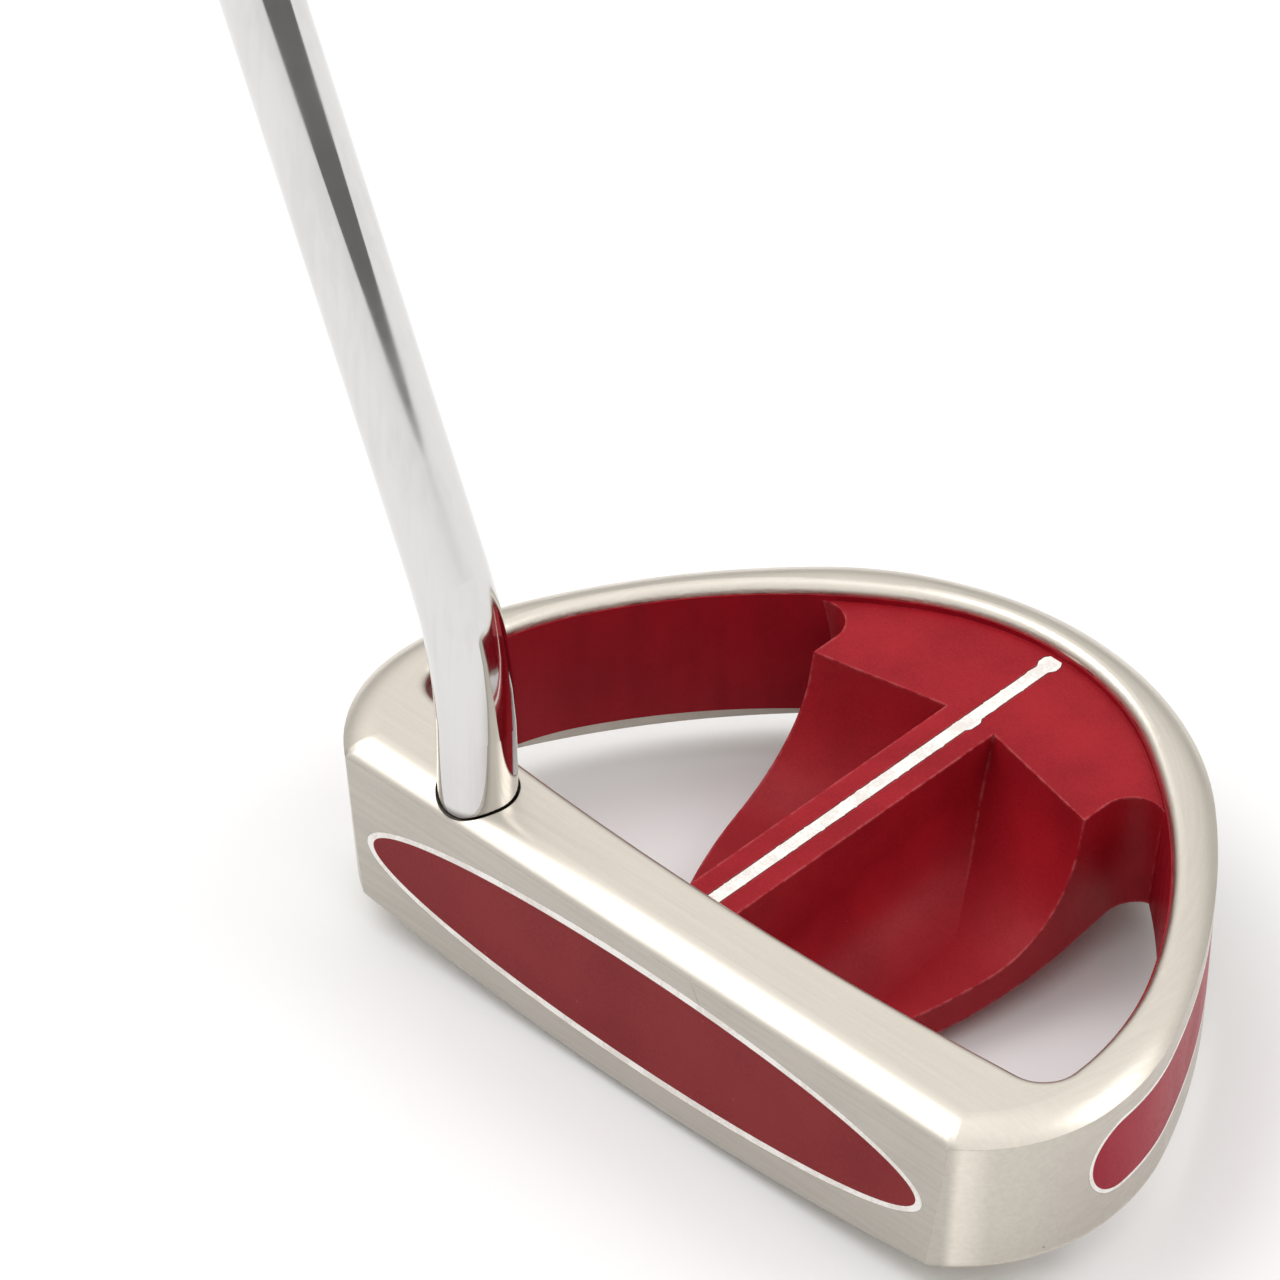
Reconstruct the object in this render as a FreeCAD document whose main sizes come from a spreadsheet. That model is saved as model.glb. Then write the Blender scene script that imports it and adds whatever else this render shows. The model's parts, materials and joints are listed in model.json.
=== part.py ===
import FreeCAD, Part
import Sketcher
import math
import os

# Mallet putter: a round-backed head with a red centre body, a chrome shaft with one bend and a
# rubber grip. Millimetres, +Z up, X from heel (-) to toe (+), the face looks along -Y.
# The origin is the middle of the flat contact pad on the sole.

Vector = FreeCAD.Vector
os.makedirs("parts", exist_ok=True)
doc = FreeCAD.newDocument("mallet_putter")

sizes = {
    # plan of the head, measured from the top edge of the face
    "headHalfWidth": 56.8,
    "headDepth": 75.2,
    "widest": 17.4,
    "cornerRadius": 21.6,
    "shoulderRoundness": 0.556,
    "shoulderSweep": 24,
    "backRoundness": 0.817,
    "faceStock": 2.9,
    # crown, sole and face
    "crownHeight": 25.6,
    "crownOverhang": 1.7,
    "crownRoll": 6,
    "outerDraft": 3,
    "soleRadius": 320,
    "padSink": 0.2,
    "soleRound": 1.5,
    "reliefRim": 3,
    "reliefKeel": 13,
    "reliefStart": 6,
    "reliefRise": 0.2,
    "reliefHeight": 12,
    "faceSetback": 22,
    "loft": 2,
    # window inside the ring
    "sideWall": 6.3,
    "backWall": 4.8,
    "barDepth": 11,
    "barBow": 480,
    "windowCorner": 4.6,
    "windowShoulder": 0.7191,
    "windowSweep": 28,
    "windowBack": 0.7378,
    "windowDraft": 4.5,
    "windowRoll": 1.4,
    # red centre body
    "deckTop": 23.6,
    "deckHalf": 21.6,
    "waistRadius": 62,
    "webRadius": 4,
    "ribHalf": 3.75,
    "deckRun": 16,
    "deckSkew": 12,
    "scoopFloor": 3.9,
    "scoopSlope": 8,
    "scoopDraft": 12,
    "scoopRound": 16,
    "ribRound": 9,
    "scoopSpare": 6,
    "enamelThickness": 0.2,
    "enamelTop": 24.3,
    "lineHalf": 0.85,
    "lineDepth": 0.8,
    "lineMargin": 1.4,
    # ledges of the frame and the screws that hold the centre body
    "frontLedgeTop": 2.8,
    "rearLedgeTop": 6.2,
    "ledgeReach": 8,
    "ledgeHalf": 12,
    "screwRadius": 1.5,
    "screwHeadRadius": 2.8,
    "screwHeadDepth": 1.7,
    "screwLength": 8,
    "screwDrive": 1.2,
    "screwRecess": 0.5,
    "screwSpread": 7,
    "screwInset": 4.5,
    # face insert
    "insertHalfLength": 43.4,
    "insertHalfHeight": 7.1,
    "insertHeight": 13.2,
    "insertThickness": 2,
    "borderWidth": 1,
    "glueThickness": 0.2,
    # side inlays
    "inlayFront": 15,
    "inlayMargin": 14.2,
    "inlayRadius": 5.2,
    "inlayHeight": 15.4,
    "inlayDepth": 0.9,
    "inlayBorder": 0.5,
    # shaft
    "shaftX": -31.5,
    "shaftDepth": 5.4,
    "shaftRadius": 4.7,
    "shaftWall": 0.6,
    "shaftSeat": 19.6,
    "shaftGlue": 0.25,
    "glueRise": 0.6,
    "postRadius": 3.7,
    "postFootRadius": 3.1,
    "postFoot": 7,
    "postTop": 34,
    "bendHeight": 46.5,
    "bendRadius": 60,
    "lieFromUpright": 20,
    "leanHeading": 183.1,
    "shaftLength": 812,
    "stepStart": 200,
    "stepPitch": 33,
    "stepRise": 0.265,
    # grip, measured along the shaft from its bend
    "gripLength": 267,
    "gripTapeThickness": 0.3,
    "gripButtHalf": 12.8,
    "gripTipHalf": 9.6,
    "gripFlat": 0.84,
    "gripCapThickness": 4,
    "ventRadius": 1.6,
}
stepCount = 10

sheet = doc.addObject("Spreadsheet::Sheet", "Dim")
for row, (name, value) in enumerate(sizes.items(), 1):
    sheet.set("A%d" % row, name)
    sheet.set("B%d" % row, str(value))
    sheet.setAlias("B%d" % row, name)
doc.recompute()

nodes = {}


def total(*names):
    """A sum of named sizes, as its value and as the expression that says the same."""
    value = 0.0
    text = ""
    for name in names:
        key = name.lstrip("-")
        sign = "-" if name.startswith("-") else "+"
        value += -sizes[key] if sign == "-" else sizes[key]
        text += " %s Dim.%s" % (sign, key)
    return value, text.replace(" + ", "", 1) if text.startswith(" +") else "0" + text


def add(kind, name, **properties):
    """A document object. Text is bound as an expression, anything else is set as it is."""
    made = doc.addObject(kind, name)
    for key, value in properties.items():
        if isinstance(value, str) and key not in ("DirMode",):
            made.setExpression(key.replace("_", "."), value)
        else:
            setattr(made, key, value)
    return made


def place(made, x="0", y="0", z="0", yaw="0", pitch="0", roll="0"):
    made.setExpression(
        "Placement",
        "placement(vector(%s; %s; %s); rotation(%s; %s; %s))" % (x, y, z, yaw, pitch, roll),
    )
    return made


def box(name, low, size, **turn):
    made = add("Part::Box", name, Length=size[0], Width=size[1], Height=size[2])
    return place(made, *low, **turn)


def cylinder(name, radius, height, *where, **turn):
    made = add("Part::Cylinder", name, Radius=radius, Height=height)
    return place(made, *where, **turn)


def cut(name, base, tool):
    made = doc.addObject("Part::Cut", name)
    made.Base = base
    made.Tool = tool
    made.Refine = True
    return made


def common(name, *shapes):
    made = doc.addObject("Part::MultiCommon", name)
    made.Shapes = list(shapes)
    made.Refine = True
    return made


def fuse(name, *shapes):
    made = doc.addObject("Part::MultiFuse", name)
    made.Shapes = list(shapes)
    made.Refine = True
    return made


def fillet(name, base, *choices):
    """Rounds edges of base. A choice is a radius and a test for the edges it is meant for."""
    doc.recompute()
    chosen = []
    for radius, wanted in choices:
        found = [i for i, edge in enumerate(base.Shape.Edges, 1) if wanted(edge)]
        if not found:
            raise RuntimeError(name + " found no edge to round")
        chosen += [(i, radius, radius) for i in found]
    made = doc.addObject("Part::Fillet", name)
    made.Base = base
    made.Edges = chosen
    return made


def level(edge, height, slack=0.05):
    bounds = edge.BoundBox
    return abs(bounds.ZMin - height) < slack and abs(bounds.ZMax - height) < slack


def keep(node, made, moved=True):
    """Names a finished sub-part and moves it so that the contact pad is at the origin."""
    made.Label = node
    if moved:
        made.setExpression("Placement.Base.y", "-Dim.faceSetback")
    nodes[node] = made
    return made


def plus(pair, *names):
    """Adds named sizes to a pair of value and expression."""
    value, text = total(*names)
    return pair[0] + value, "(%s) + (%s)" % (pair[1], text)


def bend(name, across, along):
    """The radius at the end of an oval that is across wide to each side and along deep, as a
    share of the radius that a true ellipse has there."""
    radius = sizes[name] * across[0] ** 2 / along[0]
    return radius, "Dim.%s * (%s)^2 / (%s)" % (name, across[1], along[1])


# ---------------------------------------------------------------- outlines of the head

def outline(name, halfWidth, widest, corner, shoulder, sweep, back, depth, front, bow=None):
    """A closed outline of tangent arcs, symmetric about the Y axis. Each argument is a pair of
    value and expression. The front is a straight line, or with bow an arc of that radius that
    runs tangent into the corners."""
    s = math.radians(sweep[0])
    ring = Vector(math.cos(s), math.sin(s), 0)
    c2 = Vector(halfWidth[0] - shoulder[0], widest[0], 0)
    c4 = Vector(0, depth[0] - back[0], 0)
    toBack = c4 - c2
    spare = shoulder[0] - back[0]
    extra = (spare * spare - toBack.dot(toBack)) / (2 * (toBack.dot(ring) - spare))
    sideRadius = shoulder[0] + extra
    c3 = c2 - ring * extra
    e = math.atan2(c4.y - c3.y, c4.x - c3.x)
    if bow:
        c0 = Vector(0, front[0] + bow[0], 0)
        reach = bow[0] - corner[0]
        gap = shoulder[0] - corner[0]
        span = (c2 - c0).Length
        along = (reach * reach - gap * gap + span * span) / (2 * span)
        side = math.sqrt(reach * reach - along * along)
        line = (c2 - c0) * (1 / span)
        c1 = c0 + line * along + Vector(-line.y, line.x, 0) * side
        if c1.x < c0.x + line.x * along:
            c1 = c0 + line * along - Vector(-line.y, line.x, 0) * side
        start = math.atan2(c1.y - c0.y, c1.x - c0.x)
        turn = math.atan2(c1.y - c2.y, c1.x - c2.x)
    else:
        c1 = Vector(halfWidth[0] - corner[0], widest[0], 0)
        start = -math.asin((widest[0] - front[0]) / corner[0])
        turn = 0
    sketch = doc.addObject("Sketcher::SketchObject", name)

    def arc(centre, radius, a, b):
        circle = Part.Circle(centre, Vector(0, 0, 1), radius)
        return sketch.addGeometry(Part.ArcOfCircle(circle, a, b), False)

    def flip(centre):
        return Vector(-centre.x, centre.y, 0)

    if bow:
        arc(c0, bow[0], math.pi - start + 2 * math.pi, start + 2 * math.pi)
    else:
        left = Vector(-(c1.x + corner[0] * math.cos(start)), front[0], 0)
        sketch.addGeometry(Part.LineSegment(left, Vector(-left.x, left.y, 0)), False)
    arc(c1, corner[0], start, turn)
    arc(c2, shoulder[0], turn, s)
    arc(c3, sideRadius, s, e)
    arc(c4, back[0], e, math.pi - e)
    arc(flip(c3), sideRadius, math.pi - e, math.pi - s)
    arc(flip(c2), shoulder[0], math.pi - s, math.pi - turn)
    arc(flip(c1), corner[0], math.pi - turn, math.pi - start)

    def rule(*terms):
        return sketch.addConstraint(Sketcher.Constraint(*terms))

    def dimension(size, *terms):
        index = rule(*terms, size[0])
        sketch.setExpression("Constraints[%d]" % index, size[1])

    for first in range(1, 7):
        rule("Tangent", first, 2, first + 1, 1)
    if bow:
        rule("Tangent", 7, 2, 0, 1)
        rule("Tangent", 0, 2, 1, 1)
        rule("PointOnObject", 0, 3, -2)
        dimension(bow, "Radius", 0)
        middle = (front[0] + bow[0], "%s + %s" % (front[1], bow[1]))
        dimension(middle, "DistanceY", -1, 1, 0, 3)
    else:
        rule("Coincident", 7, 2, 0, 1)
        rule("Coincident", 0, 2, 1, 1)
        rule("Horizontal", 0)
        dimension(front, "DistanceY", -1, 1, 0, 1)
        dimension(widest, "DistanceY", -1, 1, 1, 3)
        dimension(widest, "DistanceY", -1, 1, 7, 3)
    dimension(corner, "Radius", 1)
    dimension(shoulder, "Radius", 2)
    dimension(back, "Radius", 4)
    rule("Equal", 1, 7)
    rule("Equal", 2, 6)
    rule("Equal", 3, 5)
    dimension(widest, "DistanceY", -1, 1, 2, 3)
    inset = (halfWidth[0] - shoulder[0], "%s - (%s)" % (halfWidth[1], shoulder[1]))
    dimension(inset, "DistanceX", -1, 1, 2, 3)
    joint = (
        widest[0] + shoulder[0] * math.sin(s),
        "%s + (%s) * sin(%s * 1deg)" % (widest[1], shoulder[1], sweep[1]),
    )
    dimension(joint, "DistanceY", -1, 1, 2, 2)
    dimension(joint, "DistanceY", -1, 1, 6, 1)
    rule("PointOnObject", 4, 3, -2)
    rise = (depth[0] - back[0], "%s - (%s)" % (depth[1], back[1]))
    dimension(rise, "DistanceY", -1, 1, 4, 3)
    if bow:
        dimension(widest, "DistanceY", -1, 1, 6, 3)
    return sketch


def headOutline(name, *grow, front="-faceStock"):
    across = total("headHalfWidth")
    along = total("headDepth", "-widest")
    return outline(
        name,
        halfWidth=plus(across, *grow),
        widest=total("widest"),
        corner=total("cornerRadius", *grow),
        shoulder=plus(bend("shoulderRoundness", along, across), *grow),
        sweep=total("shoulderSweep"),
        back=plus(bend("backRoundness", across, along), *grow),
        depth=total("headDepth", *grow),
        front=total(front),
    )


windowAcross = total("headHalfWidth", "-sideWall")
windowAlong = total("headDepth", "-backWall", "-widest")
windowShoulder = bend("windowShoulder", windowAlong, windowAcross)
windowBack = bend("windowBack", windowAcross, windowAlong)


def windowOutline(name, *shrink):
    grow = [piece[1:] if piece.startswith("-") else "-" + piece for piece in shrink]
    return outline(
        name,
        halfWidth=plus(windowAcross, *shrink),
        widest=total("widest"),
        corner=total("windowCorner", *shrink),
        shoulder=plus(windowShoulder, *shrink),
        sweep=total("windowSweep"),
        back=plus(windowBack, *shrink),
        depth=total("headDepth", "-backWall", *shrink),
        front=total("barDepth", *grow),
        bow=total("barBow", *shrink),
    )


rollRun = sizes["crownRoll"] - sizes["crownOverhang"]
crownEdge = sizes["crownHeight"] - sizes["crownRoll"] + math.sqrt(sizes["crownRoll"] ** 2 - rollRun ** 2)
crownEdgeText = (
    "(Dim.crownHeight - Dim.crownRoll"
    " + sqrt(Dim.crownRoll^2 - (Dim.crownRoll - Dim.crownOverhang)^2))"
)


def drafted(name, sketch, height, taper):
    """Extrudes a sketch down to the ground, narrowing by the taper, and straight up past the
    crown."""
    place(sketch, z=height)
    made = doc.addObject("Part::Extrusion", name)
    made.Base = sketch
    made.DirMode = "Custom"
    made.Dir = Vector(0, 0, -1)
    made.Solid = True
    made.setExpression("LengthFwd", height)
    made.setExpression("LengthRev", "Dim.crownRoll")
    made.setExpression("TaperAngle", "-%s" % taper)
    return made


def ball(name):
    """The sole is part of a large sphere that dips a little under the ground, which leaves the
    flat contact pad."""
    made = add("Part::Sphere", name, Radius="Dim.soleRadius")
    return place(made, y="Dim.faceSetback", z="Dim.soleRadius - Dim.padSink")


outerBlock = drafted("OuterBlock", headOutline("OuterOutline"), crownEdgeText, "Dim.outerDraft")
inlayBlock = drafted(
    "InlayBlock", headOutline("InlayOutline", "-inlayDepth"), crownEdgeText, "Dim.outerDraft"
)
window = drafted("Window", windowOutline("WindowOutline"), "Dim.crownHeight", "Dim.windowDraft")
windowInner = drafted(
    "WindowInner", windowOutline("LinerOutline", "-enamelThickness"), "Dim.crownHeight",
    "Dim.windowDraft",
)
soleBall = ball("SoleBall")


# ---------------------------------------------------------------- pockets in the head

faceBack = "-(%s - Dim.insertHeight) * tan(Dim.loft * 1deg)" % crownEdgeText


def oval(name, grow, forward, back):
    """A plate with an oval outline that lies along the lofted face, from forward of the face to
    back inside it."""
    shape = add(
        "Part::Ellipse", name + "Outline",
        MajorRadius="Dim.insertHalfLength + %s" % grow,
        MinorRadius="Dim.insertHalfHeight + %s" % grow,
    )
    place(shape, y=faceBack, z="Dim.insertHeight", roll="90 - Dim.loft")
    made = doc.addObject("Part::Extrusion", name)
    made.Base = shape
    made.DirMode = "Normal"
    made.Solid = True
    made.setExpression("LengthFwd", back)
    made.setExpression("LengthRev", forward)
    return made


def stadium(name, grow):
    """A bar along X with rounded ends, as seen from the side of the head."""
    radius = "(Dim.inlayRadius + %s)" % grow
    front = "Dim.inlayFront + Dim.inlayRadius"
    back = "Dim.headDepth - Dim.inlayMargin - Dim.inlayRadius"
    low = "Dim.inlayHeight - " + radius
    wide = "2 * Dim.headHalfWidth"
    middle = box(
        name + "Middle", ("-Dim.headHalfWidth", front, low),
        (wide, "%s - (%s)" % (back, front), "2 * " + radius),
    )
    ends = [
        cylinder(name + part, radius, wide, "-Dim.headHalfWidth", y, "Dim.inlayHeight", pitch="90")
        for part, y in (("Front", front), ("Back", back))
    ]
    return fuse(name, middle, *ends)


def skin(name):
    return cut(name, outerBlock, inlayBlock)


def side(name, toe):
    low = "0" if toe else "-2 * Dim.headHalfWidth"
    return box(name, (low, "0", "0"), ("2 * Dim.headHalfWidth", "Dim.headDepth", "Dim.crownHeight"))


pocketDepth = "Dim.insertThickness + Dim.glueThickness"
insertPocket = oval("InsertPocket", "Dim.borderWidth", "Dim.faceStock", pocketDepth)
inlayPocket = common("InlayPocket", stadium("InlaySlot", "Dim.inlayBorder"), skin("PocketSkin"))

ledges = [
    box(
        "FrontLedge", ("-Dim.ledgeHalf / 2", "Dim.barDepth - 2", "0"),
        ("Dim.ledgeHalf", "Dim.ledgeReach + 2", "Dim.frontLedgeTop"),
    ),
    box(
        "RearLedge", ("-Dim.ledgeHalf", "Dim.headDepth - Dim.backWall - Dim.ledgeReach - 1", "0"),
        ("2 * Dim.ledgeHalf", "Dim.ledgeReach + 3", "Dim.rearLedgeTop"),
    ),
]
frontScrew = "Dim.barDepth + Dim.screwInset"
rearScrew = "Dim.headDepth - Dim.backWall - Dim.screwInset - 1"
rearSole = (
    "(Dim.soleRadius - Dim.padSink - sqrt(Dim.soleRadius^2 - (%s - Dim.faceSetback)^2))" % rearScrew
)
screwPlaces = {
    "Front": ("0", frontScrew, "Dim.screwRecess"),
    "Toe": ("Dim.screwSpread", rearScrew, rearSole + " + Dim.screwRecess"),
    "Heel": ("-Dim.screwSpread", rearScrew, rearSole + " + Dim.screwRecess"),
}


def makeRelief():
    """The hollow under the ring and under the wings of the centre body. Its roof is a shallow
    cone that rises from the contact pad, and a keel in the middle is left standing."""
    rim = headOutline("ReliefOutline", "-reliefRim", front="barDepth")
    slab = doc.addObject("Part::Extrusion", "ReliefSlab")
    slab.Base = rim
    slab.DirMode = "Custom"
    slab.Dir = Vector(0, 0, 1)
    slab.Solid = True
    slab.setExpression("LengthFwd", "Dim.reliefHeight")
    wide = "2 * Dim.headHalfWidth"
    size = (wide, "Dim.headDepth", "Dim.reliefHeight")
    sides = fuse(
        "ReliefSides",
        box("ReliefToe", ("Dim.reliefKeel", "Dim.barDepth", "0"), size),
        box("ReliefHeel", ("-Dim.reliefKeel - " + wide, "Dim.barDepth", "0"), size),
    )
    roof = add(
        "Part::Cone", "ReliefRoof", Radius1="Dim.reliefStart",
        Radius2="Dim.reliefStart + Dim.reliefHeight / Dim.reliefRise", Height="Dim.reliefHeight",
    )
    place(roof, y="Dim.faceSetback")
    return cut("Relief", common("ReliefBlock", slab, sides), roof)


relief = makeRelief()


def screwSet(name, below):
    """Three countersunk screws that point up, from below the sole or flush inside it."""
    made = []
    for place_, (x, y, seat) in screwPlaces.items():
        start = "%s - %s" % (seat, below)
        shank = "Dim.screwLength + %s" % below
        made.append(cylinder(name + place_ + "Shank", "Dim.screwRadius", shank, x, y, start))
        head = add(
            "Part::Cone", name + place_ + "Head", Radius1="Dim.screwHeadRadius",
            Radius2="Dim.screwRadius", Height="Dim.screwHeadDepth",
        )
        made.append(place(head, x, y, seat))
        if below != "0":
            made.append(cylinder(name + place_ + "Mouth", "Dim.screwHeadRadius", below, x, y, start))
    return fuse(name, *made)


screwHoles = screwSet("ScrewHoles", "Dim.rearLedgeTop")


# ---------------------------------------------------------------- head_frame

def makeFrame():
    blank = doc.addObject("Part::Extrusion", "CrownBlank")
    blank.Base = headOutline("CrownOutline", "crownOverhang", front="-crownOverhang")
    blank.DirMode = "Custom"
    blank.Dir = Vector(0, 0, 1)
    blank.Solid = True
    blank.setExpression("LengthFwd", "Dim.crownHeight")
    crown = fillet(
        "Crown", blank, (sizes["crownRoll"], lambda edge: level(edge, sizes["crownHeight"]))
    )
    body = common("CrownedBlock", crown, outerBlock)
    ring = cut("OpenRing", body, window)
    front = box(
        "FaceCutter", ("-2 * Dim.headHalfWidth", "0", crownEdgeText),
        ("4 * Dim.headHalfWidth", "Dim.headDepth", "2 * Dim.crownHeight"), roll="180 - Dim.loft",
    )
    faced = cut("FacedRing", ring, front)
    domed = common("DomedRing", faced, soleBall)
    softened = fillet(
        "SoftRing", domed, (sizes["windowRoll"], isWindowRim), (sizes["soleRound"], isSoleRim)
    )
    lugs = common("Ledges", fuse("LedgeBoxes", *ledges), window, soleBall)
    joined = cut("ReliefRing", fuse("RingWithLedges", softened, lugs), relief)
    bores = fuse(
        "Bores",
        cylinder(
            "ShaftBore", "Dim.shaftRadius + Dim.shaftGlue", "Dim.crownHeight",
            "Dim.shaftX", "Dim.shaftDepth", "Dim.shaftSeat",
        ),
        cylinder(
            "PostBore", "Dim.postFootRadius", "Dim.crownHeight",
            "Dim.shaftX", "Dim.shaftDepth", "Dim.postFoot",
        ),
        insertPocket, inlayPocket, screwHoles,
    )
    return keep("head_frame", cut("HeadFrame", joined, bores))


def isWindowRim(edge):
    if not level(edge, sizes["crownHeight"], 0.01):
        return False
    middle = edge.valueAt((edge.FirstParameter + edge.LastParameter) / 2)
    rimDepth = sizes["headDepth"] - sizes["backWall"]
    return abs(middle.x) <= sizes["headHalfWidth"] - sizes["sideWall"] + 0.1 and \
        sizes["barDepth"] - 0.1 <= middle.y <= rimDepth + 0.1


def isSoleRim(edge):
    """The bottom edges of the face and of the head's outer wall."""
    middle = edge.valueAt((edge.FirstParameter + edge.LastParameter) / 2)
    low = 0.1 < edge.BoundBox.ZMax < sizes["crownHeight"] / 3
    if not low or edge.Length < sizes["soleRound"]:
        return False
    return middle.y < 0 or not outerBlock.Shape.isInside(middle, 0.01, False)


# ---------------------------------------------------------------- core_body

deckFront = total("headDepth", "-backWall", "-deckRun")
# the long arc of the window's side, from its shoulder to its back
turn = "(Dim.windowSweep * 1deg)"
shoulderX = "(%s - %s)" % (windowAcross[1], windowShoulder[1])
backY = "(%s - %s)" % (windowAlong[1], windowBack[1])
spare = "(%s - %s)" % (windowShoulder[1], windowBack[1])
lean = "(%s * sin(%s) - %s * cos(%s))" % (backY, turn, shoulderX, turn)
extra = "((%s^2 - %s^2 - %s^2) / (2 * (%s - %s)))" % (spare, shoulderX, backY, lean, spare)
sideX = "(%s - %s * cos(%s))" % (shoulderX, extra, turn)
sideY = "(Dim.widest - %s * sin(%s))" % (extra, turn)
sideRadius = "(%s + %s - Dim.enamelThickness)" % (windowShoulder[1], extra)
# each web's hollow touches the deck's side and that arc
hollowX = "(Dim.deckHalf + Dim.webRadius - %s)" % sideX
webCentre = "(%s + sqrt((%s - Dim.webRadius)^2 - %s^2))" % (sideY, sideRadius, hollowX)
webRun = "(%s + %s * %s / (%s - Dim.webRadius) - Dim.deckHalf)" % (
    sideX, hollowX, sideRadius, sideRadius,
)


waistEnd = "%s - Dim.scoopSpare" % deckFront[1]


def corePlan(name, bottom, top):
    """The centre body's outline as seen from above: narrow at the bar, full width at the deck, and
    flared into the ring's wall with a concave web on each side."""
    height = "%s - (%s)" % (top, bottom)
    pieces = []
    for part, sign in (("Toe", "-"), ("Heel", "")):
        pieces.append(cylinder(
            name + part + "Waist", "Dim.waistRadius", height,
            "%s(Dim.waistRadius - Dim.deckHalf)" % sign, waistEnd, bottom,
        ))
    slab = box(
        name + "Front", ("-Dim.deckHalf", "0", bottom), ("2 * Dim.deckHalf", waistEnd, height)
    )
    front = common(name + "Waisted", slab, *pieces)
    rear = box(
        name + "Rear", ("-Dim.deckHalf", waistEnd, bottom),
        ("2 * Dim.deckHalf", "Dim.headDepth - (%s)" % waistEnd, height),
    )
    webs = []
    for part, sign in (("Toe", 1), ("Heel", -1)):
        low = "Dim.deckHalf" if sign > 0 else "-Dim.deckHalf - %s" % webRun
        block = box(
            name + part + "Web", (low, webCentre, bottom), (webRun, "3 * Dim.webRadius", height)
        )
        hollow = cylinder(
            name + part + "Hollow", "Dim.webRadius", height,
            "%d * (Dim.deckHalf + Dim.webRadius)" % sign, webCentre, bottom,
        )
        webs.append(cut(name + part + "Flare", block, hollow))
    return fuse(name, front, rear, *webs)


def scoop(name, toe):
    """The tool that hollows one side of the centre body: a sloping floor that turns up into the
    deck's front and into the rib's side."""
    sketch = doc.addObject("Sketcher::SketchObject", name + "Profile")
    slope = math.tan(math.radians(sizes["scoopSlope"]))
    draft = math.tan(math.radians(sizes["scoopDraft"]))
    deckEdge = deckFront[0]
    over = sizes["scoopSpare"]
    start = sizes["barDepth"] - over
    floorAtStart = sizes["scoopFloor"] - over * slope
    meet = (sizes["deckTop"] - floorAtStart - (deckEdge - start) * slope) / (1 - slope * draft) * draft
    foot = Vector(deckEdge - meet, 0, 0)
    foot.y = floorAtStart + (foot.x - start) * slope
    points = [
        Vector(start, floorAtStart, 0), foot,
        Vector(deckEdge + over * draft, sizes["deckTop"] + over, 0),
        Vector(start, sizes["deckTop"] + over, 0),
    ]
    for i in range(4):
        sketch.addGeometry(Part.LineSegment(points[i], points[(i + 1) % 4]), False)
    for i in range(4):
        sketch.addConstraint(Sketcher.Constraint("Coincident", i, 2, (i + 1) % 4, 1))
    sketch.addConstraint(Sketcher.Constraint("Horizontal", 2))
    sketch.addConstraint(Sketcher.Constraint("Vertical", 3))

    def dimension(text, value, *terms):
        index = sketch.addConstraint(Sketcher.Constraint(*terms, value))
        sketch.setExpression("Constraints[%d]" % index, text)

    dimension("Dim.barDepth - Dim.scoopSpare", start, "DistanceX", -1, 1, 0, 1)
    low = "Dim.scoopFloor - Dim.scoopSpare * tan(Dim.scoopSlope * 1deg)"
    far = "%s + Dim.scoopSpare * tan(Dim.scoopDraft * 1deg)" % deckFront[1]
    dimension(low, floorAtStart, "DistanceY", -1, 1, 0, 1)
    dimension("Dim.deckTop + Dim.scoopSpare", points[2].y, "DistanceY", -1, 1, 2, 1)
    dimension(far, points[2].x, "DistanceX", -1, 1, 2, 1)
    dimension("Dim.scoopSlope * 1deg", math.radians(sizes["scoopSlope"]), "Angle", 0)
    dimension("(90 - Dim.scoopDraft) * 1deg", math.radians(90 - sizes["scoopDraft"]), "Angle", 1)
    sign = 1 if toe else -1
    sketch.setExpression(
        "Placement",
        "placement(vector(0; 0; 0); rotation(90 - %d * Dim.deckSkew; 0; 90))" % sign,
    )
    block = doc.addObject("Part::Extrusion", name + "Block")
    block.Base = sketch
    block.DirMode = "Normal"
    block.Solid = True
    block.Symmetric = True
    block.setExpression("LengthFwd", "4 * Dim.deckHalf")
    low = "Dim.ribHalf" if toe else "-2 * Dim.deckHalf"
    keepSide = box(
        name + "Side", (low, "0", "0"),
        ("2 * Dim.deckHalf - Dim.ribHalf", "Dim.headDepth", "2 * Dim.deckTop"),
    )
    half = common(name + "Half", block, keepSide)

    rib = sign * sizes["ribHalf"]

    def underRib(edge):
        bounds = edge.BoundBox
        beside = max(abs(bounds.XMin - rib), abs(bounds.XMax - rib)) < 0.01
        return beside and bounds.ZMax < foot.y + 1 and bounds.YLength > deckFront[0] / 2

    def underDeck(edge):
        bounds = edge.BoundBox
        return level(edge, foot.y) and bounds.XLength > sizes["deckHalf"]

    return fillet(name, half, (sizes["scoopRound"], underDeck), (sizes["ribRound"], underRib))


def makeCore():
    solid = common("CoreSolid", corePlan("CorePlan", "0", "Dim.deckTop"), window, soleBall)
    scoops = fuse("Scoops", scoop("ToeScoop", True), scoop("HeelScoop", False), relief)
    hollowed = cut("ScoopedCore", solid, scoops)
    seats = fuse("CoreSeats", *ledges)
    seated = cut("SeatedCore", hollowed, seats)
    groove = fuse("Groove", lineBar("GrooveBar"), screwSet("CoreHoles", "0"))
    return keep("core_body", cut("CoreBody", seated, groove))


def lineBar(name):
    return box(
        name, ("-Dim.lineHalf", "0", "Dim.deckTop - Dim.lineDepth"),
        ("2 * Dim.lineHalf", "Dim.headDepth - Dim.backWall - Dim.lineMargin", "Dim.lineDepth"),
    )


def makeSightLine():
    return keep("sight_line", common("SightLine", lineBar("LineBar"), window))


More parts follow.
